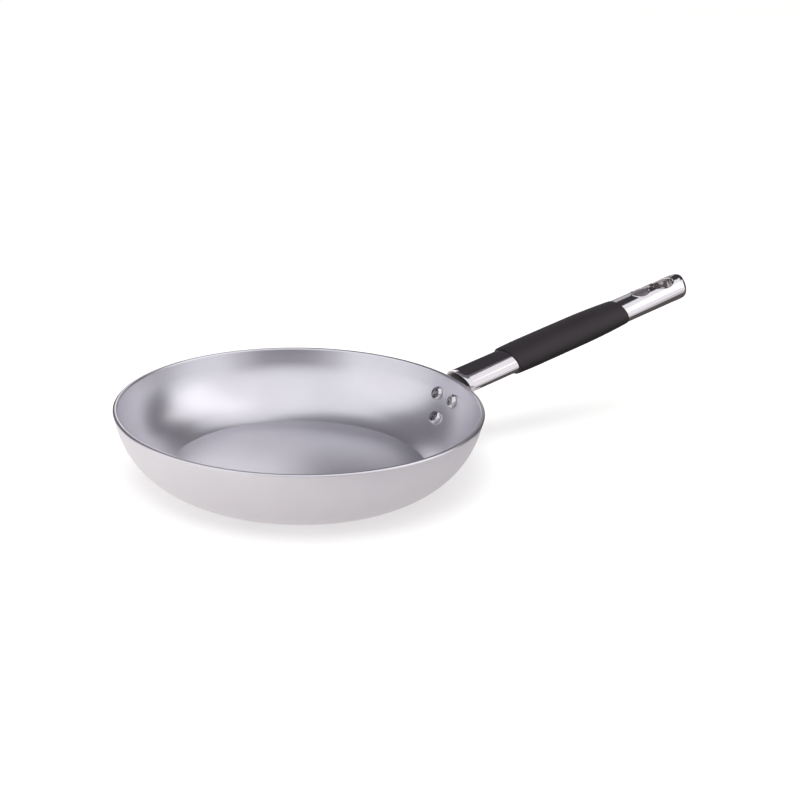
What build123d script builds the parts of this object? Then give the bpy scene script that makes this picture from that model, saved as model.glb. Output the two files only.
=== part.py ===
from build123d import *
import os
from math import acos, asin, cos, degrees, radians, sin, sqrt, tan

# Omelette pan, millimetres, +Z up. The origin is the centre of the underside of the base,
# and the handle points along +X.

# Pan body
rim_diameter = 240.0
pan_height = 47.0
wall = 3.0
straight_top = 8.0
rim_angle = 77.0
base_angle = 23.0
base_bend_radius = 3.0
rim_edge_radius = 0.7

# Handle axis: how far under the rim it crosses the rim circle, and how steeply it rises
handle_drop = 5.1
handle_rise = 13.6

# Oval handle tube, stations are distances along the handle from the rim circle
tube_front = 4.0
tube_reach = 206.5
tube_wall = 1.2
front_half_width = 15.4
front_half_height = 7.2
middle_station = 139.0
middle_half_width = 13.8
middle_half_height = 7.75
end_half_width = 11.4
end_half_height = 9.0
nose_depth = 8.0
nose_edge_radius = 3.2
nose_turns = (0, 15, 30, 42, 54, 64, 72, 79, 84, 87)

# Hanging hole and the round badge place before it
hole_to_end = 18.5
hole_half_length = 8.8
hole_half_width = 7.6
hole_edge_radius = 1.4
badge_to_end = 39.0
badge_radius = 7.2
badge_rim_width = 1.1
badge_rise = 0.4

# Silicone sleeve
sleeve_start = 45.7
sleeve_length = 99.0
sleeve_swell = 1.95
sleeve_gap = 0.1
sleeve_edge_radius = 0.35
sleeve_station_shares = (0.0, 0.2, 0.55, 0.78, 0.92, 1.0)
sleeve_swell_shares = (0.77, 1.0, 1.0, 0.85, 0.55, 0.26)

# Bracket: one pressed sheet, a plate on the wall and a tongue in the tube
bracket_thickness = 2.5
bracket_margin = 7.5
bracket_turn = 20
bend_radius = 2.0
tongue_length = 44.0
tongue_side_gap = 0.2
tongue_corner_radius = 6.0
seat_gap = 0.1

# Rivets, placed by how far the middles of their heads lie under the rim, inside the wall
upper_rivet_drop = 13.7
lower_rivet_drop = 27.2
upper_rivet_spacing = 18.4
shank_radius = 2.5
shank_gap = 0.15
head_radius = 4.9
head_top_radius = 3.7
head_height = 2.3
head_bulge = 0.3
groove_radius = 2.3
groove_half_width = 0.35
groove_depth = 0.3
dimple_radius = 0.7
dimple_depth = 0.3
closed_head_radius = 4.4
closed_head_height = 1.9

# How far a cutting body runs past what it cuts
overrun = 1.0

rim_radius = rim_diameter / 2
side_radius = (pan_height - straight_top) / (cos(radians(base_angle)) - cos(radians(rim_angle)))
inner_radius = side_radius - wall
arc_height = side_radius * cos(radians(base_angle))
arc_reach = rim_radius - straight_top / tan(radians(rim_angle)) - side_radius * sin(radians(rim_angle))
floor_angle = degrees(acos((arc_height - wall) / inner_radius))
handle_height = pan_height - handle_drop
upper_rivet_height = pan_height - upper_rivet_drop
lower_rivet_height = pan_height - lower_rivet_drop
nose_start = tube_reach - nose_depth
hole_station = tube_reach - hole_to_end
badge_station = tube_reach - badge_to_end

# Along the handle plane's z the handle runs outwards, and its y is up, square to the handle
rise = radians(handle_rise)
handle_plane = Plane(
    origin=(rim_radius, 0, handle_height), x_dir=(0, 1, 0), z_dir=(cos(rise), 0, sin(rise))
)
top_plane = Plane(origin=handle_plane.origin, x_dir=handle_plane.z_dir, z_dir=handle_plane.y_dir)
handle_axis = Axis(handle_plane.origin, handle_plane.z_dir)


def side_point(offset, angle):
    """The point of the wall's arc at a slope angle, moved outwards by the offset."""
    reach = side_radius + offset
    return (arc_reach + reach * sin(radians(angle)), arc_height - reach * cos(radians(angle)))


def rim_point(offset, height):
    """The point of the wall's straight top at a height, moved outwards by the offset."""
    inset = (pan_height - height) / tan(radians(rim_angle))
    return (rim_radius - inset + offset / sin(radians(rim_angle)), height)


def oval_at(station):
    """Half width and half height of the tube's outside at a station."""
    if station < middle_station:
        share = station / middle_station
        width_range = (front_half_width, middle_half_width)
        height_range = (front_half_height, middle_half_height)
    else:
        share = (station - middle_station) / (tube_reach - middle_station)
        width_range = (middle_half_width, end_half_width)
        height_range = (middle_half_height, end_half_height)
    return [start + (finish - start) * share for start, finish in (width_range, height_range)]


def tube_form(offset, first):
    """The tube's outside as a solid from the first station to the nose, grown by the offset."""
    tip = tube_reach + offset
    edge_radius = nose_edge_radius + offset
    with BuildPart() as form:
        for start, finish in ((first, middle_station), (middle_station, nose_start)):
            for station in (start, finish):
                half_width, half_height = oval_at(station)
                with BuildSketch(handle_plane.offset(station)):
                    Ellipse(half_width + offset, half_height + offset)
            loft()
        half_width, half_height = oval_at(nose_start)
        for turn in nose_turns:
            station = nose_start + (nose_depth + offset) * sin(radians(turn))
            edge_depth = max(edge_radius - (tip - station), 0)
            drop = edge_radius - sqrt(edge_radius**2 - edge_depth**2)
            with BuildSketch(handle_plane.offset(station)):
                Ellipse((half_width + offset) * cos(radians(turn)), half_height + offset - drop)
        loft()
    return form.part


class RivetPlace:
    """A rivet's middle on the inside of the wall, with planes square to and along its axis."""

    def __init__(self, height, sideways):
        slope = acos((arc_height - height) / inner_radius)
        reach = arc_reach + inner_radius * sin(slope)
        turn = asin(sideways / reach)
        point = Vector(reach * cos(turn), reach * sin(turn), height)
        outwards = Vector(sin(slope) * cos(turn), sin(slope) * sin(turn), -cos(slope))
        across = Vector(-sin(turn), cos(turn), 0)
        self.axis = Axis(point, outwards)
        self.face = Plane(origin=point, x_dir=across, z_dir=outwards)
        self.section = Plane(origin=point, x_dir=across, z_dir=across.cross(outwards))


rivet_places = {
    "rivet_upper_left": RivetPlace(upper_rivet_height, upper_rivet_spacing / 2),
    "rivet_upper_right": RivetPlace(upper_rivet_height, -upper_rivet_spacing / 2),
    "rivet_lower": RivetPlace(lower_rivet_height, 0),
}

# Pan body: one spun sheet with a wide flat base, a slight bend at its edge, a wall in one big
# arc up to a short straight top, and a square-cut rim
wall_angle = (base_angle + rim_angle) / 2
with BuildPart() as pan_body:
    with BuildSketch(Plane.XZ):
        with BuildLine():
            Line((0, 0), side_point(0, base_angle))
            ThreePointArc(
                side_point(0, base_angle), side_point(0, wall_angle), side_point(0, rim_angle)
            )
            Line(side_point(0, rim_angle), rim_point(0, pan_height))
            Line(rim_point(0, pan_height), rim_point(-wall, pan_height))
            Line(rim_point(-wall, pan_height), side_point(-wall, rim_angle))
            ThreePointArc(
                side_point(-wall, rim_angle),
                side_point(-wall, wall_angle),
                side_point(-wall, floor_angle),
            )
            Line(side_point(-wall, floor_angle), (0, wall))
            Line((0, wall), (0, 0))
        make_face()
    revolve(axis=Axis.Z)
    outer_bend = pan_body.edges().group_by(Axis.Z)[0]
    fillet(outer_bend, radius=base_bend_radius + wall)
    inner_bend = pan_body.edges().sort_by_distance((side_point(-wall, floor_angle)[0], 0, wall))[0]
    fillet(inner_bend, radius=base_bend_radius)
    fillet(pan_body.edges().group_by(Axis.Z)[-1], radius=rim_edge_radius)
    for place in rivet_places.values():
        with BuildSketch(place.face):
            Circle(shank_radius + shank_gap)
        extrude(amount=wall + overrun, both=True, mode=Mode.SUBTRACT)
pan_body.part.label = "pan_body"

# Bracket: its section is turned about the pan's axis, so that the plate lies on the wall all
# over, then cut to the outline round the three rivets and to the tongue's width
plate_inside = seat_gap
plate_outside = seat_gap + bracket_thickness
half_sheet = bracket_thickness / 2
bore_half_width, bore_half_height = [half - tube_wall for half in oval_at(tube_front + tongue_length)]
tongue_half_width = bore_half_width * sqrt(1 - (half_sheet / bore_half_height) ** 2) - tongue_side_gap


def bend_corner(offset, lift):
    """Where the wall's straight top, moved out by the offset, meets the lifted handle axis."""
    start = rim_point(offset, 0)[0] - rim_radius
    level = handle_height + lift / cos(rise) + start * tan(rise)
    return rim_point(offset, level / (1 - tan(rise) / tan(radians(rim_angle))))


def tongue_end(lift):
    """The tongue's far end, on a line lifted square to the handle axis."""
    reach = tube_front + tongue_length
    return (
        rim_radius + reach * cos(rise) - lift * sin(rise),
        handle_height + reach * sin(rise) + lift * cos(rise),
    )


with BuildPart() as handle_bracket:
    with BuildSketch(Plane.XZ.rotated((0, 0, -bracket_turn))) as section:
        with BuildLine():
            ThreePointArc(
                side_point(plate_inside, base_angle),
                side_point(plate_inside, wall_angle),
                side_point(plate_inside, rim_angle),
            )
            Polyline(
                side_point(plate_inside, rim_angle),
                bend_corner(plate_inside, half_sheet),
                tongue_end(half_sheet),
                tongue_end(-half_sheet),
                bend_corner(plate_outside, -half_sheet),
                side_point(plate_outside, rim_angle),
            )
            ThreePointArc(
                side_point(plate_outside, rim_angle),
                side_point(plate_outside, wall_angle),
                side_point(plate_outside, base_angle),
            )
            Line(side_point(plate_outside, base_angle), side_point(plate_inside, base_angle))
        make_face()
        upper_corner = section.vertices().sort_by_distance(bend_corner(plate_inside, half_sheet))[0]
        fillet(upper_corner, radius=bend_radius + bracket_thickness)
        lower_corner = section.vertices().sort_by_distance(bend_corner(plate_outside, -half_sheet))[0]
        fillet(lower_corner, radius=bend_radius)
    revolve(axis=Axis.Z, revolution_arc=2 * bracket_turn)
    with BuildSketch(Plane.YZ):
        with Locations((-upper_rivet_spacing / 2, upper_rivet_height)):
            Circle(bracket_margin)
        with Locations((upper_rivet_spacing / 2, upper_rivet_height)):
            Circle(bracket_margin)
        with Locations((0, lower_rivet_height)):
            Circle(bracket_margin)
        make_hull()
        with Locations((0, upper_rivet_height)):
            Rectangle(2 * tongue_half_width, pan_height, align=(Align.CENTER, Align.MIN))
    extrude(amount=rim_radius + tube_reach, mode=Mode.INTERSECT)
    end_corners = handle_bracket.edges().filter_by(lambda edge: edge.length < bracket_thickness + seat_gap)
    fillet(end_corners.group_by(Axis.X)[-1], radius=tongue_corner_radius)
    for place in rivet_places.values():
        with BuildSketch(place.face):
            Circle(shank_radius + shank_gap)
        extrude(amount=wall + plate_outside + overrun, mode=Mode.SUBTRACT)
handle_bracket.part.label = "handle_bracket"

# Handle tube: oval, open towards the pan, closed nose, hole right through with a wall round it
hole_ring = hole_edge_radius + tube_wall / 2
with BuildPart() as cavity:
    add(tube_form(-tube_wall, tube_front - overrun))
    with BuildSketch(top_plane.offset(-end_half_height)):
        with Locations((hole_station, 0)):
            Ellipse(hole_half_length + hole_ring, hole_half_width + hole_ring)
    extrude(amount=2 * end_half_height, mode=Mode.SUBTRACT)

with BuildPart() as badge_ring:
    with BuildSketch(top_plane):
        with Locations((badge_station, 0)):
            Circle(badge_radius + badge_rim_width / 2)
            Circle(badge_radius - badge_rim_width / 2, mode=Mode.SUBTRACT)
    extrude(amount=end_half_height + badge_rise)
    add(tube_form(badge_rise, tube_front), mode=Mode.INTERSECT)
    add(tube_form(-tube_wall / 2, tube_front), mode=Mode.SUBTRACT)

with BuildPart() as handle_tube:
    add(tube_form(0, tube_front))
    add(cavity.part, mode=Mode.SUBTRACT)
    with BuildSketch(top_plane.offset(-end_half_height - overrun)):
        with Locations((hole_station, 0)):
            Ellipse(hole_half_length, hole_half_width)
    extrude(amount=2 * (end_half_height + overrun), mode=Mode.SUBTRACT)
    fillet(handle_tube.edges(Select.LAST).filter_by(GeomType.BSPLINE), radius=hole_edge_radius)
    add(badge_ring.part)
handle_tube.part.label = "handle_tube"

# Grip sleeve: silicone, swelling gently, thin at its far end
with BuildPart() as grip_sleeve:
    for station_share, swell_share in zip(sleeve_station_shares, sleeve_swell_shares):
        station = sleeve_start + sleeve_length * station_share
        half_width, half_height = oval_at(station)
        swell = sleeve_swell * swell_share
        with BuildSketch(handle_plane.offset(station)):
            Ellipse(half_width + swell, half_height + swell)
    loft()
    add(tube_form(sleeve_gap, tube_front), mode=Mode.SUBTRACT)
    end_faces = grip_sleeve.faces().sort_by(handle_axis)
    end_edges = [end_faces[0].outer_wire().edges()[0], end_faces[-1].outer_wire().edges()[0]]
    fillet(end_edges, radius=sleeve_edge_radius)
grip_sleeve.part.label = "grip_sleeve"

# Rivets: flat head with a ring groove and a dimple inside the pan, shank, round head outside.
# The wall curves towards the flat head, so that its rim is what touches.
head_seat = head_radius**2 / (2 * inner_radius) + head_radius**2 / (2 * rim_radius) + seat_gap / 2
head_top = head_seat + head_height
head_middle = (head_radius + head_top_radius + head_bulge) / 2
closed_seat = wall + plate_outside + seat_gap / 2
rivets = {}
for name, place in rivet_places.items():
    with BuildPart() as rivet:
        with BuildSketch(place.section):
            with BuildLine():
                Polyline(
                    (shank_radius, closed_seat),
                    (shank_radius, -head_seat),
                    (head_radius, -head_seat),
                )
                ThreePointArc(
                    (head_radius, -head_seat),
                    (head_middle + head_bulge, -head_seat - head_height / 2),
                    (head_top_radius, -head_top),
                )
                Polyline(
                    (head_top_radius, -head_top),
                    (groove_radius + groove_half_width, -head_top),
                    (groove_radius, groove_depth - head_top),
                    (groove_radius - groove_half_width, -head_top),
                    (dimple_radius, -head_top),
                    (0, dimple_depth - head_top),
                    (0, closed_seat + closed_head_height),
                )
                bulge_radius = (closed_head_radius**2 + closed_head_height**2) / (2 * closed_head_height)
                RadiusArc(
                    (0, closed_seat + closed_head_height), (closed_head_radius, closed_seat), bulge_radius
                )
                Line((closed_head_radius, closed_seat), (shank_radius, closed_seat))
            make_face()
        revolve(axis=place.axis)
    rivet.part.label = name
    rivets[name] = rivet.part

os.makedirs("parts", exist_ok=True)
export_step(pan_body.part, "parts/pan_body.step")
export_step(handle_bracket.part, "parts/handle_bracket.step")
export_step(handle_tube.part, "parts/handle_tube.step")
export_step(grip_sleeve.part, "parts/grip_sleeve.step")
export_step(rivets["rivet_upper_left"], "parts/rivet_upper_left.step")
export_step(rivets["rivet_upper_right"], "parts/rivet_upper_right.step")
export_step(rivets["rivet_lower"], "parts/rivet_lower.step")
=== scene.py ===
from math import acos, asin, atan2, cos, hypot, pi, radians, sin, sqrt, tan

import bmesh
import bpy
from mathutils import Matrix, Vector


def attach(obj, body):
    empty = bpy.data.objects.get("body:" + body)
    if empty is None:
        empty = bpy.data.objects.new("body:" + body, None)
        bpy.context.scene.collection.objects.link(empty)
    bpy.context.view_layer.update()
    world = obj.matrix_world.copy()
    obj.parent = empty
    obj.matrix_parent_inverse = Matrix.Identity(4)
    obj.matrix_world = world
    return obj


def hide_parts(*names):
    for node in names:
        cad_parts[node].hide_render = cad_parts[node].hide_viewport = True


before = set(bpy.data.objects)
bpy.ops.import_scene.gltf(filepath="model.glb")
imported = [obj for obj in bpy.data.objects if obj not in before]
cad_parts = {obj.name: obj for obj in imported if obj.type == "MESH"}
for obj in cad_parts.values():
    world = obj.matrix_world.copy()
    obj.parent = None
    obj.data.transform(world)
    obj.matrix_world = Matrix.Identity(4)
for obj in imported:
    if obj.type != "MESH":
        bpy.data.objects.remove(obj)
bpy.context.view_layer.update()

# Camera: it stands at chest height before the table, a little to the pan's left, and the handle
# runs away from it to the right. Its place was fitted to the oval of the pan's rim.
camera_place = Vector((-0.4333, -0.8081, 0.3820))
camera_heading = radians(57.761)
camera_pitch = radians(19.831)
camera_roll = radians(2.0614)
camera_lens_mm = 67.5
camera_sensor_mm = 36
camera_clip_start = 0.01

looking = Vector((cos(camera_heading) * cos(camera_pitch), sin(camera_heading) * cos(camera_pitch),
                  -sin(camera_pitch)))
level_right = Vector((sin(camera_heading), -cos(camera_heading), 0))
level_up = level_right.cross(looking)
image_right = level_right * cos(camera_roll) + level_up * sin(camera_roll)
image_up = level_up * cos(camera_roll) - level_right * sin(camera_roll)
camera_data = bpy.data.cameras.new("camera")
camera_data.lens = camera_lens_mm
camera_data.sensor_width = camera_sensor_mm
camera_data.clip_start = camera_clip_start
camera = bpy.data.objects.new("camera", camera_data)
camera.matrix_world = Matrix.Translation(camera_place) @ Matrix(
    (image_right, image_up, -looking)).transposed().to_4x4()
bpy.context.scene.collection.objects.link(camera)
bpy.context.scene.camera = camera

# Pan body: one disc of thick aluminium, spun over a form into a wide flat base, a wall in one
# big arc and a short straight top, then turned square at the rim. Its skin is satin, with fine
# turning lines that run round the axis.
rim_radius = 0.120
pan_height = 0.047
wall = 0.003
straight_top = 0.008
rim_angle = radians(77)
base_angle = radians(23)
base_bend_radius = 0.003
rim_edge_radius = 0.0013
spin_segments = 288
floor_points = 12
bend_points = 6
arc_points = 40
rim_edge_points = 5

satin_colours = ((0.735, 0.73, 0.765), (0.765, 0.76, 0.79))
satin_cloud_scale = 26
satin_cloud_edges = (0.35, 0.65)
satin_roughness = 0.278
satin_line_roughness = 0.02
satin_cloud_roughness = 0.015
turning_line_scale = 1000
turning_line_stretch = 0.004
satin_grain_scale = 4200
satin_grain_share = 0.15
satin_bump_strength = 0.06
satin_bump_depth = 0.00004

# The outside of the wall is an arc of side_radius round (arc_reach, arc_height). It ends above in
# the straight top, and below in the bend that leads to the base.
side_radius = (pan_height - straight_top) / (cos(base_angle) - cos(rim_angle))
inner_radius = side_radius - wall
arc_height = side_radius * cos(base_angle)
arc_reach = rim_radius - straight_top / tan(rim_angle) - side_radius * sin(rim_angle)
bend_height = wall + base_bend_radius
bend_reach = arc_reach + sqrt((inner_radius - base_bend_radius)**2 - (arc_height - bend_height)**2)
bend_angle = atan2(bend_reach - arc_reach, arc_height - bend_height)


class Wire:
    """A node socket that sums are written with, in a material or in geometry nodes."""

    def __init__(self, tree, socket=None):
        self.tree = tree
        self.socket = socket

    def make(self, kind, settings=None, inputs=None, out=0):
        """A node of a kind: its settings first, then the values or links of its sockets."""
        node = self.tree.nodes.new(kind)
        for name, value in (settings or {}).items():
            setattr(node, name, value)
        for name, value in (inputs or {}).items():
            if isinstance(value, Wire):
                self.tree.links.new(value.socket, node.inputs[name])
            else:
                node.inputs[name].default_value = value
        return Wire(self.tree, node.outputs[out])

    def out(self, name):
        """Another output of the node that this socket belongs to."""
        return Wire(self.tree, self.socket.node.outputs[name])

    def math(self, operation, *others):
        return self.make("ShaderNodeMath", {"operation": operation},
                         dict(enumerate((self, *others))))

    def __add__(self, other):
        return self.math("ADD", other)

    __radd__ = __add__

    def __mul__(self, other):
        return self.math("MULTIPLY", other)

    __rmul__ = __mul__

    def __sub__(self, other):
        return self.math("SUBTRACT", other)

    def __rsub__(self, other):
        return (self * -1).math("ADD", other)

    def between(self, low, high):
        """0 below low, 1 above high, and a soft step in between."""
        return self.make("ShaderNodeMapRange", {"interpolation_type": "SMOOTHSTEP"},
                         {"Value": self, "From Min": low, "From Max": high})

    def noise(self, scale, detail):
        """Soft specks from 0 to 1 over this place, so many to the metre, with finer layers."""
        return self.make("ShaderNodeTexNoise", None,
                         {"Vector": self, "Scale": scale, "Detail": detail})

    def bump(self, strength, depth):
        """A surface normal that takes this value for a height."""
        return self.make("ShaderNodeBump", None,
                         {"Height": self, "Strength": strength, "Distance": depth})

    def distance_to(self, point):
        return self.make("ShaderNodeVectorMath", {"operation": "DISTANCE"},
                         {0: self, 1: point}, "Value")


def mix_colour(factor, first, second):
    """The first colour where the factor is 0 and the second where it is 1; each may be a wire."""
    first, second = [colour if isinstance(colour, Wire) else (*colour, 1)
                     for colour in (first, second)]
    return factor.make("ShaderNodeMix", {"data_type": "RGBA"},
                       {0: factor, 6: first, 7: second}, out=2)


def new_material(name, metallic, **constants):
    """A material with its shader's even values set, and the wire of its Object coordinates."""
    material = bpy.data.materials.new(name)
    material.use_nodes = True
    shader = material.node_tree.nodes["Principled BSDF"]
    shader.inputs["Metallic"].default_value = metallic
    for socket, value in constants.items():
        shader.inputs[socket.replace("_", " ")].default_value = value
    return material, shader, Wire(material.node_tree).make("ShaderNodeTexCoord", out="Object")


def feed(shader, **wires):
    """Links wires to the sockets of a material's shader."""
    for socket, wire in wires.items():
        wire.tree.links.new(wire.socket, shader.inputs[socket.replace("_", " ")])


def new_piece(name, mesh, material, *nodes):
    """A finished piece that stands for CAD nodes, and rides on the part's one body."""
    piece = bpy.data.objects.new(name, mesh)
    bpy.context.scene.collection.objects.link(piece)
    mesh.materials.clear()
    mesh.materials.append(material)
    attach(piece, "root")
    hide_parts(*nodes)


def outline_curve(name, points):
    """A lathe's outline as a curve: how far from the axis, and how far along it."""
    data = bpy.data.curves.new(name, "CURVE")
    data.dimensions = "3D"
    spline = data.splines.new("POLY")
    spline.points.add(len(points) - 1)
    for point, (reach, height) in zip(spline.points, points):
        point.co = (reach, -height, 0, 1)
    profile = bpy.data.objects.new(name, data)
    bpy.context.scene.collection.objects.link(profile)
    return profile


def new_tree(name, **inputs):
    """A Geometry Nodes tree with named inputs, and the wire that they come from."""
    tree = bpy.data.node_groups.new(name, "GeometryNodeTree")
    for item, kind in inputs.items():
        tree.interface.new_socket(name=item.replace("_", " "), in_out="INPUT",
                                  socket_type="NodeSocket" + kind)
    tree.interface.new_socket(name="Geometry", in_out="OUTPUT", socket_type="NodeSocketGeometry")
    return tree, Wire(tree).make("NodeGroupInput")


def end_tree(tree, made, material):
    """Ends a tree with a real mesh in one material."""
    real = made.make("GeometryNodeRealizeInstances", None, {"Geometry": made})
    final = made.make("GeometryNodeSetMaterial", None, {"Geometry": real, "Material": material})
    output = tree.nodes.new("NodeGroupOutput")
    tree.links.new(final.socket, output.inputs["Geometry"])
    return tree


def spin_tree():
    """Turns an outline round the Z axis, as a spinning lathe does."""
    tree, given = new_tree("spun_round_z", Profile="Object", Segments="Int",
                           Turning_radius="Float", Material="Material")
    profile = given.make("GeometryNodeObjectInfo", None, {"Object": given.out("Profile")},
                         "Geometry")
    inwards = given.make("ShaderNodeCombineXYZ", None, {"X": given.out("Turning radius") * -1})
    moved = given.make("GeometryNodeTransform", None,
                       {"Geometry": profile, "Translation": inwards})
    path = given.make("GeometryNodeCurvePrimitiveCircle", None, {
        "Resolution": given.out("Segments"), "Radius": given.out("Turning radius")})
    skin = given.make("GeometryNodeCurveToMesh", None, {"Curve": path, "Profile Curve": moved})
    closed = given.make("GeometryNodeMergeByDistance", None, {"Geometry": skin, "Distance": 1e-6})
    smooth = given.make("GeometryNodeSetShadeSmooth", None, {"Geometry": closed})
    return end_tree(tree, smooth, given.out("Material"))


def grown_mesh(name, tree, start_mesh, **values):
    """The plain mesh that a tree makes, with its named inputs set."""
    grower = bpy.data.objects.new(name, start_mesh)
    bpy.context.scene.collection.objects.link(grower)
    modifier = grower.modifiers.new("grow", "NODES")
    modifier.node_group = tree
    for item in tree.interface.items_tree:
        if item.in_out == "INPUT" and item.name.replace(" ", "_") in values:
            modifier[item.identifier] = values[item.name.replace(" ", "_")]
    evaluated = grower.evaluated_get(bpy.context.evaluated_depsgraph_get())
    mesh = bpy.data.meshes.new_from_object(evaluated)
    grower.modifiers.remove(modifier)
    bpy.data.objects.remove(grower)
    bpy.data.objects.remove(values["Profile"])
    mesh.name = name
    return mesh


def wall_point(offset, slope):
    """A point of the wall's arc, moved outwards by the offset from the outer skin."""
    reach = side_radius + offset
    return (arc_reach + reach * sin(slope), arc_height - reach * cos(slope))


def rim_corner(offset, turn_from, turn_to):
    """The rounded edge at the rim's outer or inner corner."""
    inset = rim_edge_radius if offset == 0 else -rim_edge_radius
    centre = (rim_radius + (offset - inset) / sin(rim_angle), pan_height - rim_edge_radius)
    turns = [turn_from + (turn_to - turn_from) * step / rim_edge_points
             for step in range(rim_edge_points + 1)]
    return [(centre[0] + rim_edge_radius * cos(turn), centre[1] + rim_edge_radius * sin(turn))
            for turn in turns]


def base_bend(radius):
    """The slight bend at the edge of the flat base, inside or outside."""
    turns = [bend_angle * step / bend_points for step in range(bend_points + 1)]
    return [(bend_reach + radius * sin(turn), bend_height - radius * cos(turn)) for turn in turns]


slopes = [bend_angle + (rim_angle - bend_angle) * step / arc_points
          for step in range(1, arc_points + 1)]
floor_reaches = [bend_reach * step / floor_points for step in range(floor_points)]
pan_profile = [(reach, wall) for reach in floor_reaches]
pan_profile += base_bend(base_bend_radius)
pan_profile += [wall_point(-wall, slope) for slope in slopes]
pan_profile += rim_corner(-wall, pi, pi / 2) + rim_corner(0, pi / 2, 0)
pan_profile += [wall_point(0, slope) for slope in reversed(slopes)]
pan_profile += reversed(base_bend(base_bend_radius + wall))
pan_profile += [(reach, 0) for reach in reversed(floor_reaches)]

pan_material, pan_shader, place = new_material("satin_aluminium", 1)
parts = place.make("ShaderNodeSeparateXYZ", None, {"Vector": place})
from_axis = (parts * parts + parts.out("Y") * parts.out("Y")).math("SQRT")
round_axis = parts.out("Y").math("ARCTAN2", parts) * turning_line_stretch
unrolled = place.make("ShaderNodeCombineXYZ", None,
                      {"X": from_axis, "Y": parts.out("Z"), "Z": round_axis})
turning_lines = unrolled.noise(turning_line_scale, 2)
grain = place.noise(satin_grain_scale, 2)
cloud = place.noise(satin_cloud_scale, 3)
feed(pan_shader,
     Base_Color=mix_colour(cloud.between(*satin_cloud_edges), *satin_colours),
     Roughness=satin_roughness + turning_lines * satin_line_roughness
     + cloud * satin_cloud_roughness,
     Normal=(turning_lines + grain * satin_grain_share).bump(satin_bump_strength, satin_bump_depth))

spun = spin_tree()
pan_mesh = grown_mesh("pan_body_spun", spun, bpy.data.meshes.new("empty"),
                      Profile=outline_curve("pan_profile", pan_profile), Segments=spin_segments,
                      Turning_radius=rim_radius, Material=pan_material)
new_piece("pan_body_spun", pan_mesh, pan_material, "pan_body")

# Handle bracket: pressed from stainless sheet, a plate shaped to the wall under the rivets and
# a tongue that the tube is pushed on to. The CAD solid's shape is kept, with smooth bends and a
# brushed skin.
bracket_colours = ((0.60, 0.59, 0.58), (0.70, 0.69, 0.68))
brush_scale = 420
brush_stretch = (1, 12, 1)
brush_roughness = 0.28
brush_roughness_spread = 0.14
brush_bump_strength = 0.2
brush_bump_depth = 0.00003
bracket_sharp_angle = radians(30)

bracket_material, bracket_shader, place = new_material("brushed_bracket_steel", 1)
stretched = place.make("ShaderNodeMapping", None, {"Vector": place, "Scale": brush_stretch})
brush = stretched.noise(brush_scale, 3)
feed(bracket_shader,
     Base_Color=mix_colour(brush, *bracket_colours),
     Roughness=brush_roughness + brush * brush_roughness_spread,
     Normal=brush.bump(brush_bump_strength, brush_bump_depth))

bracket_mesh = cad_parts["handle_bracket"].data.copy()
bracket_mesh.name = "handle_bracket_smooth"
pressing = bmesh.new()
pressing.from_mesh(bracket_mesh)
bmesh.ops.remove_doubles(pressing, verts=pressing.verts, dist=1e-6)
pressing.to_mesh(bracket_mesh)
pressing.free()
bracket_mesh.shade_smooth()
bracket_mesh.set_sharp_from_angle(angle=bracket_sharp_angle)
new_piece("handle_bracket_smooth", bracket_mesh, bracket_material, "handle_bracket")

# Handle tube: drawn oval from thin stainless tube that narrows and grows taller towards its
# end, closed in a rounded nose, pierced by a hanging hole with rolled edges, and polished. A low
# ring before the hole holds a plain satin plate. A station is a distance along the tube.
handle_rise = radians(13.6)
handle_start = Vector((rim_radius, 0, pan_height - 0.0051))
tube_front = 0.0040
tube_reach = 0.2065
tube_wall = 0.0012
tube_lip = 0.0002
front_half = (0.0154, 0.0072)
middle_station = 0.139
middle_half = (0.0138, 0.00775)
end_half = (0.0114, 0.0090)
nose_depth = 0.0080
nose_edge_radius = 0.0032
nose_start = tube_reach - nose_depth
hole_station = tube_reach - 0.0185
hole_half = (0.0088, 0.0076)
hole_edge_radius = 0.0014
badge_station = tube_reach - 0.039
badge_radius = 0.0072
badge_rim_width = 0.0011
badge_rise = 0.0004
ring_shoulder = 0.00012
ring_edge = 0.0003
ring_foot_rise_share = 0.02
ring_shoulder_rise_share = 0.75
plate_rings = (0.0045, 0.0022)
bore_row = 0.02
bore_depth = 0.058

# Where each span of the skin's grid ends, and its rows: bare tube, tube under the sleeve, the
# block that the badge is let into, the block that the hole is let into, and the nose
grid_spans = ((0.046, 12), (0.1572, 60), (0.1764, 16), (0.2013, 22),
              (nose_start + nose_depth * pi / 2, 12))
tube_columns = 96
side_columns = 6
badge_fan_layers = 5
badge_fan_gap = 0.0002
hole_fan_layers = 7
roll_steps = 6
roll_probe = 0.0002
hole_wall_rows = 4
tube_sharp_angle = radians(50)

polish_colours = ((0.79, 0.775, 0.785), (0.83, 0.815, 0.825))
polish_cloud_scale = 60
polish_fine_scale = 1500
polish_roughness = 0.05
polish_cloud_roughness = 0.05
polish_fine_roughness = 0.02
plate_colour = (0.50, 0.48, 0.49)
plate_roughness = 0.18
plate_fine_roughness = 0.25
plate_edges = (0.0008, 0.0003)

along = Vector((cos(handle_rise), 0, sin(handle_rise)))
upwards = Vector((-sin(handle_rise), 0, cos(handle_rise)))


def oval_at(station):
    """Half width and half height of the tube's outside at a station."""
    if station < middle_station:
        share, start, finish = station / middle_station, front_half, middle_half
    else:
        share = (station - middle_station) / (tube_reach - middle_station)
        start, finish = middle_half, end_half
    return [a + (b - a) * share for a, b in zip(start, finish)]


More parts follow.
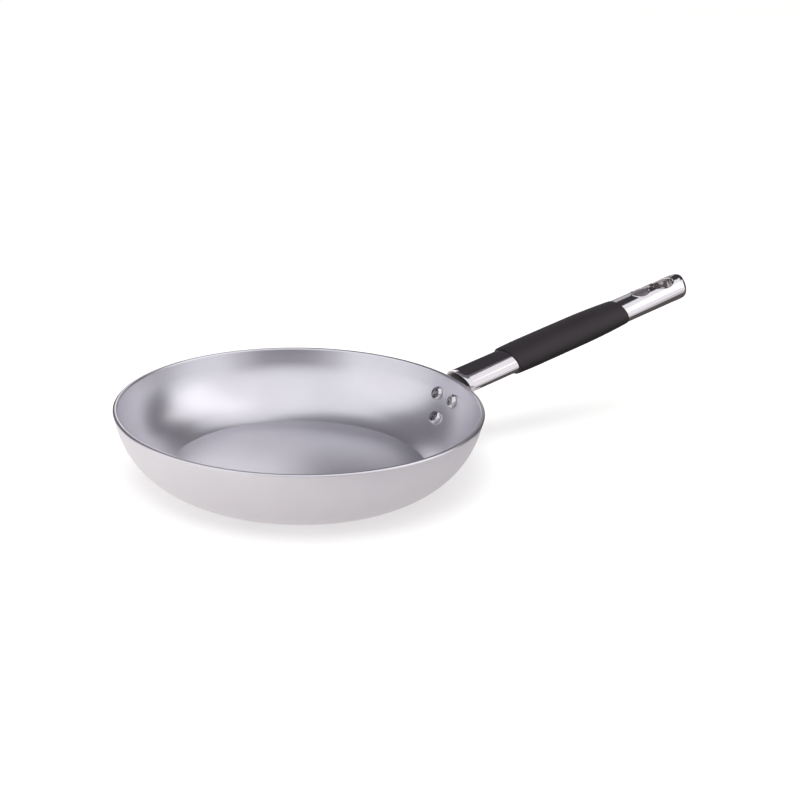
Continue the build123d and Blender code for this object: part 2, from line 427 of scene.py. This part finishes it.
def nose_oval(turn):
    """Station, half width and half height in the nose, at a turn from its start to its tip."""
    station = nose_start + nose_depth * sin(turn)
    half_width, half_height = oval_at(nose_start)
    into_edge = max(nose_edge_radius - (tube_reach - station), 0)
    drop = nose_edge_radius - sqrt(max(nose_edge_radius**2 - into_edge**2, 0))
    return station, half_width * cos(turn), half_height - drop


def on_handle(station, across, height):
    """A place given by station, sideways and height square to the handle, in the frame."""
    return handle_start + along * station + upwards * height + Vector((0, across, 0))


def tube_point(run, turn, lift=0.0):
    """A point of the tube's skin: how far along, the angle round it, and a lift off it."""
    if run <= nose_start:
        station = run
        half_width, half_height = oval_at(run)
    else:
        station, half_width, half_height = nose_oval(min((run - nose_start) / nose_depth, pi / 2))
    outwards = Vector((0, cos(turn) / max(half_width, 1e-6), sin(turn) / half_height)).normalized()
    return on_handle(station, half_width * cos(turn) + outwards.y * lift,
                     half_height * sin(turn) + outwards.z * lift)


def turn_at(column):
    """The angle round the tube of a column of its grid."""
    return 2 * pi * column / tube_columns


def add_loop(points):
    """New points of the skin that is being made."""
    return [skin.verts.new(point) for point in points]


def oval_loop(station, lift):
    """A loop round the tube at a station, lifted off its skin, or sunk by a lift below 0."""
    half_width, half_height = oval_at(station)
    return add_loop([on_handle(station, (half_width + lift) * cos(turn_at(column)),
                               (half_height + lift) * sin(turn_at(column)))
                     for column in range(tube_columns)])


def bridge(first, second):
    """Faces between two loops, and the second loop, from which the next ones go on."""
    for index, vert in enumerate(first):
        after = (index + 1) % len(first)
        skin.faces.new((vert, first[after], second[after], second[index]))
    return second


def finished_skin(name):
    """The skin as a mesh with its faces outwards, smooth but for its edges."""
    bmesh.ops.remove_doubles(skin, verts=skin.verts, dist=1e-7)
    bmesh.ops.recalc_face_normals(skin, faces=skin.faces)
    mesh = bpy.data.meshes.new(name)
    skin.to_mesh(mesh)
    skin.free()
    mesh.shade_smooth()
    mesh.set_sharp_from_angle(angle=tube_sharp_angle)
    return mesh


def block_edge(rows, columns):
    """The grid places round a block, in order."""
    (first, last), (low, high) = rows, columns
    return ([(row, low) for row in range(first, last)]
            + [(last, column) for column in range(low, high)]
            + [(row, high) for row in range(last, first, -1)]
            + [(first, column) for column in range(high, low, -1)])


def edge_bearings(edge, station):
    """For each place on a block's edge, its run, its turn and its bearing from the centre."""
    found = []
    for row, column in edge:
        here = tube_point(runs[row], turn_at(column)) - handle_start
        found.append((runs[row], turn_at(column), atan2(here.y, here.dot(along) - station)))
    return found


def oval_angle(bearing, half):
    """The angle at which a point of an oval lies in a true bearing from its centre."""
    return atan2(sin(bearing) / half[1], cos(bearing) / half[0])


def oval_run_turn(station, half, angle, side):
    """The run and turn of a point of an oval that lies on the tube's top (1) or bottom (-1)."""
    run = station + half[0] * cos(angle)
    turn = acos(half[1] * sin(angle) / oval_at(run)[0])
    return run, turn if side > 0 else 2 * pi - turn


def fan_in(edge, bearings, station, half, side, layers):
    """Loops on the tube's skin from a block's edge to an oval; the last one is given back."""
    loop = [grid[place] for place in edge]
    for layer in range(1, layers + 1):
        share = layer / layers
        points = []
        for run, turn, bearing in bearings:
            oval_run, oval_turn = oval_run_turn(station, half, oval_angle(bearing, half), side)
            points.append(tube_point(run + (oval_run - run) * share,
                                     turn + (oval_turn - turn) * share))
        loop = bridge(loop, add_loop(points))
    return loop


# The skin: a grid round the tube, with three blocks left open
runs = [tube_front + tube_lip]
span_ends = [0]
for span_end, rows in grid_spans:
    span_start = runs[-1]
    runs += [span_start + (span_end - span_start) * row / rows for row in range(1, rows + 1)]
    span_ends.append(len(runs) - 1)
badge_rows = span_ends[2:4]
hole_rows = span_ends[3:5]
top_columns = (side_columns, tube_columns // 2 - side_columns)
bottom_columns = (tube_columns // 2 + side_columns, tube_columns - side_columns)
blocks = ((badge_rows, top_columns), (hole_rows, top_columns), (hole_rows, bottom_columns))
skin = bmesh.new()
grid = {}
for row, run in enumerate(runs):
    for column in range(tube_columns):
        if not any(rows[0] < row < rows[1] and columns[0] < column < columns[1]
                   for rows, columns in blocks):
            grid[row, column] = skin.verts.new(tube_point(run, turn_at(column)))
for row in range(len(runs) - 1):
    for column in range(tube_columns):
        if not any(rows[0] <= row < rows[1] and columns[0] <= column < columns[1]
                   for rows, columns in blocks):
            after = (column + 1) % tube_columns
            skin.faces.new((grid[row, column], grid[row, after],
                            grid[row + 1, after], grid[row + 1, column]))

# The badge place: a low ring, with its plate left bare
ring_outside = badge_radius + badge_rim_width / 2
ring_inside = badge_radius - badge_rim_width / 2
edge = block_edge(badge_rows, top_columns)
bearings = edge_bearings(edge, badge_station)
fan_half = (ring_outside + badge_fan_gap, ring_outside + badge_fan_gap)
loop = fan_in(edge, bearings, badge_station, fan_half, 1, badge_fan_layers)
ring_steps = [(ring_outside, ring_foot_rise_share),
              (ring_outside - ring_shoulder, ring_shoulder_rise_share),
              (ring_outside - ring_edge, 1), (ring_inside + ring_edge, 1),
              (ring_inside + ring_shoulder, ring_shoulder_rise_share),
              (ring_inside, ring_foot_rise_share), (ring_inside - ring_edge, 0)]
ring_steps += [(ring_radius, 0) for ring_radius in plate_rings]
for ring_radius, rise_share in ring_steps:
    points = [tube_point(*oval_run_turn(badge_station, (ring_radius, ring_radius), bearing, 1),
                         badge_rise * rise_share) for _, _, bearing in bearings]
    loop = bridge(loop, add_loop(points))
plate_middle = skin.verts.new(tube_point(badge_station, pi / 2))
for index, vert in enumerate(loop):
    skin.faces.new((vert, loop[(index + 1) % len(loop)], plate_middle))

# The hanging hole: both rims rolled in, and a straight wall between them. A roll starts in line
# with the tube's skin, which is found with a probe just outside it.
outer_half = [size + hole_edge_radius for size in hole_half]
probe_half = [size + roll_probe for size in outer_half]
rolled_ends = []
for side in (1, -1):
    edge = block_edge(hole_rows, top_columns)
    if side < 0:
        edge = [(row, tube_columns - column) for row, column in edge]
    bearings = edge_bearings(edge, hole_station)
    loop = fan_in(edge, bearings, hole_station, outer_half, side, hole_fan_layers)
    rolls = []
    for _, _, bearing in bearings:
        angle = oval_angle(bearing, outer_half)
        start = tube_point(*oval_run_turn(hole_station, outer_half, angle, side))
        further = tube_point(*oval_run_turn(hole_station, probe_half, angle, side))
        finish = (hole_station + hole_half[0] * cos(angle), hole_half[1] * sin(angle))
        start_height = (start - handle_start).dot(upwards)
        fall = (start_height - (further - handle_start).dot(upwards)) / roll_probe
        gap = hypot((start - handle_start).dot(along) - finish[0], start.y - finish[1])
        bend = on_handle(*finish, start_height + fall * gap)
        end = on_handle(*finish, start_height + fall * gap - side * hole_edge_radius)
        rolls.append((start, bend, end))
    for step in range(1, roll_steps + 1):
        share = step / roll_steps
        loop = bridge(loop, add_loop([
            start * (1 - share)**2 + bend * 2 * share * (1 - share) + end * share**2
            for start, bend, end in rolls]))
    rolled_ends.append(loop)
loop = rolled_ends[0]
for step in range(1, hole_wall_rows):
    loop = bridge(loop, add_loop([upper.co.lerp(lower.co, step / hole_wall_rows)
                                  for upper, lower in zip(*rolled_ends)]))
bridge(loop, rolled_ends[1])

# The mouth: the tube's cut edge, and its inside as far as it can be seen
loop = [grid[0, column] for column in range(tube_columns)]
for station, depth in ((tube_front, tube_lip), (tube_front, tube_wall - tube_lip),
                       (tube_front + tube_lip, tube_wall), (bore_row, tube_wall),
                       (bore_depth, tube_wall)):
    loop = bridge(loop, oval_loop(station, -depth))
skin.faces.new(loop)
tube_mesh = finished_skin("handle_tube_polished")

tube_material, tube_shader, place = new_material("polished_tube_steel", 1)
cloud = place.noise(polish_cloud_scale, 3)
fine = place.noise(polish_fine_scale, 2)
badge_centre = on_handle(badge_station, 0, oval_at(badge_station)[1])
plate = 1 - place.distance_to(badge_centre).between(*[ring_inside - inset for inset in plate_edges])
fine_roughness = polish_fine_roughness + plate * plate_fine_roughness
feed(tube_shader,
     Base_Color=mix_colour(plate, mix_colour(cloud, *polish_colours), plate_colour),
     Roughness=polish_roughness + cloud * polish_cloud_roughness + fine * fine_roughness
     + plate * plate_roughness)
new_piece("handle_tube_polished", tube_mesh, tube_material, "handle_tube")

# Grip sleeve: black silicone moulded as a thin tube and drawn over the handle so that it grips,
# fullest in its middle and thin where it ends before the badge place. Its skin is matt.
sleeve_start = 0.0457
sleeve_length = 0.099
sleeve_swell = 0.00195
sleeve_gap = 0.0001
sleeve_edge_radius = 0.00035
sleeve_edge_points = 5
sleeve_rows = 60
near_taper_share, near_taper_dip, near_taper_power = 0.2, 0.23, 2
far_taper_share, far_taper_dip, far_taper_power = 0.45, 0.74, 2.2

silicone_colours = ((0.018, 0.0135, 0.0165), (0.025, 0.020, 0.0235))
silicone_shine = 0.35
silicone_cloud_scale = 45
silicone_grain_scale = 2400
silicone_roughness = 0.46
silicone_cloud_roughness = 0.10
silicone_grain_roughness = 0.06
silicone_bump_strength = 0.35
silicone_bump_depth = 0.00006


def swell_at(share):
    """How proud of the tube the sleeve stands, at a share of its length."""
    near = near_taper_dip * max(1 - share / near_taper_share, 0) ** near_taper_power
    into_far = (share - (1 - far_taper_share)) / far_taper_share
    return sleeve_swell * (1 - near - far_taper_dip * max(into_far, 0) ** far_taper_power)


def sleeve_edge(end_station, inwards, lift, radius):
    """The rounded edge at an end of the sleeve, from its outside round to its end face."""
    turns = [pi / 2 * step / sleeve_edge_points for step in range(sleeve_edge_points + 1)]
    return [(end_station + inwards * radius * (1 - sin(turn)), lift - radius * (1 - cos(turn)))
            for turn in turns]


sleeve_end = sleeve_start + sleeve_length
far_edge_radius = min(sleeve_edge_radius, swell_at(1) - sleeve_gap)
sleeve_profile = [(sleeve_start, sleeve_gap)]
sleeve_profile += reversed(sleeve_edge(sleeve_start, 1, swell_at(0), sleeve_edge_radius))
sleeve_profile += [(sleeve_start + sleeve_length * row / sleeve_rows, swell_at(row / sleeve_rows))
                   for row in range(1, sleeve_rows)]
sleeve_profile += sleeve_edge(sleeve_end, -1, swell_at(1), far_edge_radius)
sleeve_profile.append((sleeve_end, sleeve_gap))

skin = bmesh.new()
loops = [oval_loop(station, lift) for station, lift in sleeve_profile]
for first, second in zip(loops, loops[1:] + loops[:1]):
    bridge(first, second)
sleeve_mesh = finished_skin("grip_sleeve_moulded")

sleeve_material, sleeve_shader, place = new_material("black_silicone", 0,
                                                     Specular_IOR_Level=silicone_shine)
cloud = place.noise(silicone_cloud_scale, 4)
grain = place.noise(silicone_grain_scale, 3)
feed(sleeve_shader,
     Base_Color=mix_colour(cloud, *silicone_colours),
     Roughness=silicone_roughness + cloud * silicone_cloud_roughness
     + grain * silicone_grain_roughness,
     Normal=grain.bump(silicone_bump_strength, silicone_bump_depth))
new_piece("grip_sleeve_moulded", sleeve_mesh, sleeve_material, "grip_sleeve")

# Rivets: three solid rivets with flat heads inside the pan, each turned with a ring groove and a
# dimple, and tails closed into low domes over the bracket. The rims of the heads are bright, and
# their flat tops carry a painted dark reflection.
rivet_places = ((pan_height - 0.0137, 0.0092), (pan_height - 0.0137, -0.0092),
                (pan_height - 0.0272, 0))
shank_radius = 0.0025
head_radius = 0.0049
head_top_radius = 0.0037
head_height = 0.0023
head_bulge = 0.00045
head_side_points = 8
groove_radius = 0.0023
groove_half_width = 0.00035
groove_depth = 0.0003
dimple_radius = 0.0007
dimple_depth = 0.0003
closed_head_radius = 0.0044
closed_head_height = 0.0019
dome_points = 8
bracket_thickness = 0.0025
seat_gap = 0.0001
rivet_segments = 64
rivet_sharp_angle = radians(35)

rivet_colours = ((0.70, 0.69, 0.70), (0.80, 0.79, 0.80))
# Painted reflection: a dark colour painted over most of each head's flat top
rivet_top_painted_reflection = (0.20, 0.19, 0.20)
rivet_top_edge = 0.0006
painted_reflection_cover = 0.75
rivet_cloud_scale = 900
rivet_roughness = 0.06
rivet_cloud_roughness = 0.08
rivet_bump_strength = 0.06
rivet_bump_depth = 0.00002

# A head's foot clears the wall's curve by head_seat, and a tail's foot lies on the bracket
head_seat = head_radius**2 / (2 * inner_radius) + head_radius**2 / (2 * rim_radius) + seat_gap / 2
head_top = head_seat + head_height
closed_seat = wall + seat_gap + bracket_thickness + seat_gap / 2
closed_top = closed_seat + closed_head_height
dome_radius = (closed_head_radius**2 + closed_head_height**2) / (2 * closed_head_height)


def head_side(share):
    """The bulging side of the flat head, from its foot to its top."""
    control = (head_radius + head_top_radius) / 2 + 2 * head_bulge
    reach = (head_radius * (1 - share)**2 + control * 2 * share * (1 - share)
             + head_top_radius * share**2)
    return (reach, -head_seat - head_height * share)


rivet_profile = [(0, closed_top)]
for step in range(1, dome_points + 1):
    turn = asin(closed_head_radius / dome_radius) * step / dome_points
    rivet_profile.append((dome_radius * sin(turn), closed_top - dome_radius * (1 - cos(turn))))
rivet_profile += [(shank_radius, closed_seat), (shank_radius, -head_seat)]
rivet_profile += [head_side(step / head_side_points) for step in range(head_side_points + 1)]
rivet_profile += [(groove_radius + groove_half_width, -head_top),
                  (groove_radius, groove_depth - head_top),
                  (groove_radius - groove_half_width, -head_top),
                  (dimple_radius, -head_top), (0, dimple_depth - head_top)]


def rivet_tree():
    """Sets a rivet at each point of a mesh, along the point's own axis."""
    tree, given = new_tree("rivets_at_points", Places="Geometry", Profile="Object", Segments="Int",
                           Turning_radius="Float", Material="Material")
    one = given.make("GeometryNodeGroup", {"node_tree": spun}, {
        name: given.out(name) for name in ("Profile", "Segments", "Turning radius", "Material")})
    axis = given.make("GeometryNodeInputNamedAttribute", {"data_type": "FLOAT_VECTOR"},
                      {"Name": "outwards"})
    aim = given.make("FunctionNodeAlignRotationToVector", {"axis": "Z"}, {"Vector": axis})
    set_in = given.make("GeometryNodeInstanceOnPoints", None, {
        "Points": given.out("Places"), "Instance": one, "Rotation": aim})
    return end_tree(tree, set_in, given.out("Material"))


places = []
axes = []
for height, sideways in rivet_places:
    slope = acos((arc_height - height) / inner_radius)
    reach = arc_reach + inner_radius * sin(slope)
    turn = asin(sideways / reach)
    places.append(Vector((reach * cos(turn), reach * sin(turn), height)))
    axes.append(Vector((sin(slope) * cos(turn), sin(slope) * sin(turn), -cos(slope))))

rivet_material, rivet_shader, place = new_material("turned_rivet", 1)
cloud = place.noise(rivet_cloud_scale, 3)
# The heads' flat tops are painted dark, a painted reflection mixed over the turned colour
from_tops = [place.distance_to(spot - axis * head_top) for spot, axis in zip(places, axes)]
nearest = from_tops[0].math("MINIMUM", from_tops[1].math("MINIMUM", from_tops[2]))
flat_top = 1 - nearest.between(head_top_radius - rivet_top_edge, head_top_radius)
painted_reflection_share = flat_top * (painted_reflection_cover + (1 - painted_reflection_cover) * cloud)
feed(rivet_shader,
     Base_Color=mix_colour(painted_reflection_share, mix_colour(cloud, *rivet_colours), rivet_top_painted_reflection),
     Roughness=rivet_roughness + cloud * rivet_cloud_roughness,
     Normal=cloud.bump(rivet_bump_strength, rivet_bump_depth))

place_mesh = bpy.data.meshes.new("rivet_places")
place_mesh.from_pydata(places, [], [])
outwards_attribute = place_mesh.attributes.new("outwards", "FLOAT_VECTOR", "POINT")
for item, axis in zip(outwards_attribute.data, axes):
    item.vector = axis
rivet_mesh = grown_mesh("rivets_turned", rivet_tree(), place_mesh,
                        Profile=outline_curve("rivet_profile", rivet_profile),
                        Segments=rivet_segments, Turning_radius=head_radius,
                        Material=rivet_material)
rivet_mesh.set_sharp_from_angle(angle=rivet_sharp_angle)
new_piece("rivets_turned", rivet_mesh, rivet_material,
          "rivet_upper_left", "rivet_upper_right", "rivet_lower")

# Studio: a pale table in a white surround under one wide soft lamp. The metal also sees a softer
# table, dimmed and with painted light that is paler on the camera's left, and screens and cards
# that nothing else sees. They stand in for the room that the pan mirrors.
table_half = 6.0
table_drop = 0.0002
table_colour = (0.80, 0.79, 0.785)
# The table as the metal sees it: a dimmed copy, with painted light that is paler on the camera's
# left
table_colour_in_metal = (0.16, 0.155, 0.155)
table_white = (0.40, 0.40, 0.40)
table_painted_light_edges = (-0.20, 0.17)
table_painted_light_colours = ((0.50, 0.47, 0.48), (0.84, 0.80, 0.79))
surround_colour = (1, 1, 1)
surround_colour_in_metal = (0.96, 0.95, 1.0)
surround_held_back = 0.25
lamp_width = 1.2
lamp_watts = 9
lamp_place = Vector((-0.35, -0.25, 1.5))
lamp_aim = Vector((0.05, 0, 0.02))

bpy.context.scene.view_settings.view_transform = "Standard"


def glowing_material(name, **constants):
    """A dull material that gives off light of its own colour, as it is written."""
    return new_material(name, 0, Specular_IOR_Level=0, Emission_Strength=1, **constants)


table_mesh = bpy.data.meshes.new("studio_floor")
table_mesh.from_pydata([(x * table_half, y * table_half, -table_drop)
                        for x, y in ((-1, -1), (1, -1), (1, 1), (-1, 1))], [], [(0, 1, 2, 3)])
table = bpy.data.objects.new("studio_floor", table_mesh)
bpy.context.scene.collection.objects.link(table)
table_material, table_shader, place = glowing_material("pale_table", Roughness=0.9)
table_mesh.materials.append(table_material)
light_path = place.make("ShaderNodeLightPath")
in_metal = light_path.out("Is Glossy Ray")
seen_plainly = light_path.out("Is Camera Ray").math(
    "MAXIMUM", light_path.out("Is Transmission Ray"))
# Painted light on the table as the metal sees it, paler towards the camera's left
to_the_left = place.make("ShaderNodeVectorMath", {"operation": "DOT_PRODUCT"}, {
    0: place, 1: (-sin(camera_heading), cos(camera_heading), 0)}, "Value")
table_painted_light = mix_colour(to_the_left.between(*table_painted_light_edges), *table_painted_light_colours)
table_light = mix_colour(seen_plainly, (0, 0, 0), table_white)
feed(table_shader,
     Base_Color=mix_colour(in_metal, table_colour, table_colour_in_metal),
     Emission_Color=mix_colour(in_metal, table_light, table_painted_light))

# From underneath the table is clear, so that the base can be looked at
underneath = place.make("ShaderNodeNewGeometry", out="Backfacing")
clear = place.make("ShaderNodeBsdfTransparent")
both_sides = place.make("ShaderNodeMixShader", None, {
    0: underneath, 1: Wire(place.tree, table_shader.outputs["BSDF"]), 2: clear})
place.tree.links.new(both_sides.socket, place.tree.nodes["Material Output"].inputs["Surface"])

# The surround's strength depends on the ray, so it isn't sampled as a lamp
world = bpy.data.worlds.new("surround")
bpy.context.scene.world = world
world.use_nodes = True
world.cycles.sampling_method = "NONE"
background = world.node_tree.nodes["Background"]
light_path = Wire(world.node_tree).make("ShaderNodeLightPath")
feed(background,
     Strength=1 - surround_held_back * light_path.out("Is Diffuse Ray"),
     Color=mix_colour(light_path.out("Is Glossy Ray"), surround_colour, surround_colour_in_metal))

lamp_data = bpy.data.lights.new("soft_lamp", "AREA")
lamp_data.shape = "DISK"
lamp_data.size = lamp_width
lamp_data.energy = lamp_watts
lamp = bpy.data.objects.new("soft_lamp", lamp_data)
lamp.location = lamp_place
lamp.rotation_euler = (lamp_aim - lamp_place).to_track_quat("-Z", "Y").to_euler()
lamp.visible_glossy = False
bpy.context.scene.collection.objects.link(lamp)


def metal_only(name, rows, colour):
    """A glowing sheet through rows of places, which shows in the metal and nowhere else."""
    across = len(rows[0])
    sheet_mesh = bpy.data.meshes.new(name)
    sheet_mesh.from_pydata([place for row in rows for place in row], [], [
        (start, start + 1, start + across + 1, start + across)
        for row in range(len(rows) - 1)
        for start in range(row * across, row * across + across - 1)])
    sheet_mesh.materials.append(glowing_material(
        name, Roughness=1, Base_Color=(0, 0, 0, 1), Emission_Color=(*colour, 1))[0])
    sheet = bpy.data.objects.new(name, sheet_mesh)
    bpy.context.scene.collection.objects.link(sheet)
    for ray in ("camera", "diffuse", "shadow", "transmission"):
        setattr(sheet, f"visible_{ray}", False)


def steps_between(ends, count):
    return [ends[0] + (ends[1] - ends[0]) * step / count for step in range(count + 1)]


# Screens, parts of balls round the pan: the distance, the directions to the left of the camera's
# heading and the heights that each spans, in degrees, and its colour. The nearer one shows.
screen_columns = 24
screen_rows = 10
screens = (
    ("dark_screen_beyond", 2.40, (-30, 30), (-3, 58), (0.050, 0.045, 0.050)),
    ("grey_screen_beyond", 2.39, (-30, -10), (-3, 25), (0.25, 0.24, 0.26)),
    ("dark_screen_high", 2.38, (-13, 62), (58, 79), (0.17, 0.16, 0.19)),
    ("dark_screen_beyond_left", 2.37, (30, 80), (-3, 58), (0.19, 0.18, 0.21)),
    ("dark_screen_beyond_right", 2.36, (-72, -30), (-3, 50), (0.045, 0.042, 0.058)),
    ("bright_screen_left", 2.35, (92, 150), (8, 52), (1.05, 1.03, 1.07)),
    ("grey_screen_before", 2.34, (155, 232), (-1, 24), (0.56, 0.54, 0.58)),
    ("dark_screen_before", 2.33, (172, 214), (-1, 17), (0.20, 0.19, 0.21)),
    ("bright_screen_right", 2.32, (208, 308), (28, 76), (1.0, 0.96, 1.0)),
    ("brightest_screen_right", 2.31, (256, 292), (22, 68), (1.38, 1.35, 1.40)),
    ("bright_panel_beyond", 0.70, (4, 25), (8, 32), (1.30, 1.26, 1.30)),
    ("pale_panel_beyond", 0.70, (-25, -7), (8, 30), (0.50, 0.48, 0.51)),
)
for name, distance, directions, heights, colour in screens:
    rows = []
    for height in steps_between(heights, screen_rows):
        level_distance = distance * cos(radians(height))
        turns = [camera_heading + radians(direction)
                 for direction in steps_between(directions, screen_columns)]
        rows.append([(level_distance * cos(turn), level_distance * sin(turn),
                      distance * sin(radians(height))) for turn in turns])
    metal_only(name, rows, colour)

# Cards that lie on the table beyond the pan: their directions as above, how far from the pan's
# centre they start and end, and their colour
card_height = 0.0005
card_columns = 32
table_cards = (("dark_card_beyond", (-75, 75), (0.45, 2.3), (0.14, 0.13, 0.13)),
               ("dark_card_handle", (-78, -30), (0.17, 0.45), (0.11, 0.10, 0.10)))
for name, directions, reaches, colour in table_cards:
    turns = [camera_heading + radians(direction)
             for direction in steps_between(directions, card_columns)]
    metal_only(name, [[(reach * cos(turn), reach * sin(turn), card_height) for turn in turns]
                      for reach in reaches], colour)
